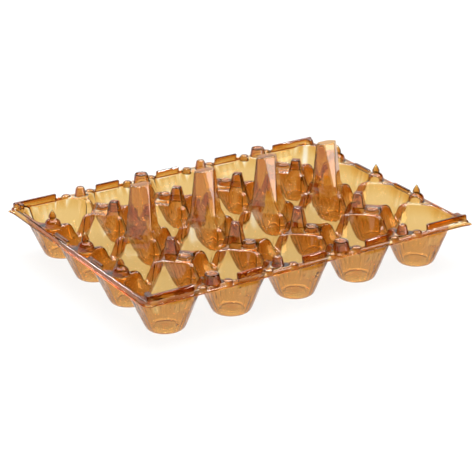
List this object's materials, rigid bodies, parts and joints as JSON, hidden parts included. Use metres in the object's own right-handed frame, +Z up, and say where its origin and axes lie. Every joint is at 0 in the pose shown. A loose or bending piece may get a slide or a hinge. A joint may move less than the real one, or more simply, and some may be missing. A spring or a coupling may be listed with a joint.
{
  "type": "plastic egg tray",
  "caption": "Open thin-walled egg tray of clear amber plastic: a grid of tapered cups under a rectangular rim, with tall middle posts, short posts, buttons and spikes.",
  "frame": {"origin": "middle of the tray, on the surface that the cups stand on", "axes": "+X along the long side, +Y along the short side, +Z up out of the cups"},
  "size_m": [0.246, 0.194, 0.0679],
  "materials": {
    "amber_sheet": "clear amber thermoformed sheet, glossy"
  },
  "bodies": {
    "root": {"egg_tray": "amber_sheet"}
  },
  "joints": []
}
